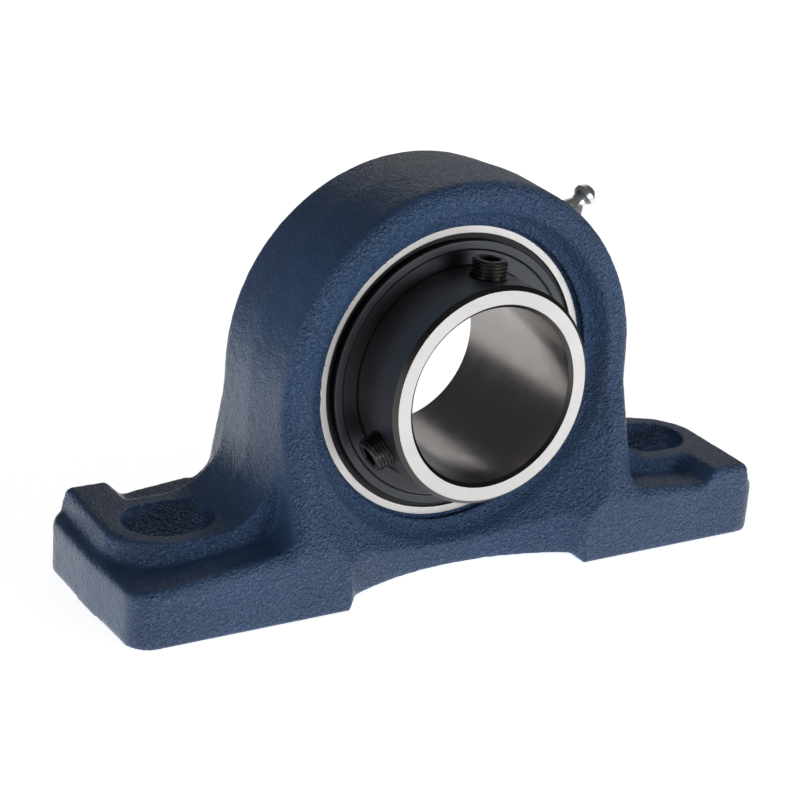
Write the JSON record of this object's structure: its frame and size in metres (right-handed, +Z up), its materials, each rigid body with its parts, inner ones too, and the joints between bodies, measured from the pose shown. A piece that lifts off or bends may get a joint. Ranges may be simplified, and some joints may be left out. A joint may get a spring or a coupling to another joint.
{
  "type": "pillow block bearing",
  "caption": "Cast pillow block with two slotted feet and a sealed self-aligning ball bearing insert locked to its shaft by set screws.",
  "frame": {"origin": "centre of the spherical seat, on the shaft bore's axis", "axes": "+Y along the bore to the rear, +Z up from the base, +X along the base to the foot on the grease nipple's side"},
  "size_m": [0.206, 0.0626, 0.1141],
  "materials": {
    "cast_body": "blue painted sand casting",
    "ground_steel": "ground bearing steel",
    "ball_steel": "polished",
    "pressed_steel": "pressed strip",
    "seal_steel": "phosphated pressing",
    "seal_rubber": "moulded",
    "slinger_steel": "dark phosphated pressing",
    "black_screw": "black oxide",
    "plated_steel": "bright zinc plate"
  },
  "bodies": {
    "housing": {"housing": "cast_body", "nipple_body": "plated_steel", "nipple_spring": "plated_steel"},
    "insert": {"outer_ring": "ground_steel", "front_seal_core": "seal_steel", "front_seal_lip": "seal_rubber", "rear_seal_core": "seal_steel", "rear_seal_lip": "seal_rubber"},
    "shaft_ring": {"inner_ring": "ground_steel", "front_slinger": "slinger_steel", "rear_slinger": "slinger_steel"},
    "cage": {"cage_front": "pressed_steel", "cage_rear": "pressed_steel", "cage_rivets": "pressed_steel", "ball_01": "ball_steel", "ball_02": "ball_steel", "ball_03": "ball_steel", "ball_04": "ball_steel", "ball_05": "ball_steel", "ball_06": "ball_steel", "ball_07": "ball_steel", "ball_08": "ball_steel", "ball_09": "ball_steel", "ball_10": "ball_steel"},
    "screw_top": {"set_screw_top": "black_screw"},
    "screw_side": {"set_screw_side": "black_screw"},
    "valve": {"nipple_ball": "plated_steel"}
  },
  "joints": [
    {"name": "insert_align", "type": "hinge", "parent": "housing", "child": "insert", "pos_m": [0, 0, 0], "axis": [1, 0, 0], "range_deg": [-2, 2]},
    {"name": "shaft_spin", "type": "hinge", "parent": "insert", "child": "shaft_ring", "pos_m": [0, 0, 0], "axis": [0, 1, 0], "continuous": true},
    {"name": "cage_orbit", "type": "hinge", "parent": "insert", "child": "cage", "pos_m": [0, 0, 0], "axis": [0, 1, 0], "continuous": true},
    {"name": "screw_top_run", "type": "slide", "parent": "shaft_ring", "child": "screw_top", "axis": [0.0523, 0, 0.9986], "range_m": [-0.0006, 0.005]},
    {"name": "screw_side_run", "type": "slide", "parent": "shaft_ring", "child": "screw_side", "axis": [-0.891, 0, -0.454], "range_m": [-0.0006, 0.005]},
    {"name": "nipple_valve", "type": "slide", "parent": "housing", "child": "valve", "axis": [-0.7408, 0, -0.6717], "range_m": [0, 0.0008], "stiffness_N_per_m": 100, "springref_m": -0.0005, "deforming": ["nipple_spring"]}
  ],
  "couplings": [
    {"joint": "cage_orbit", "follows": "shaft_spin", "ratio": 0.40929}
  ]
}
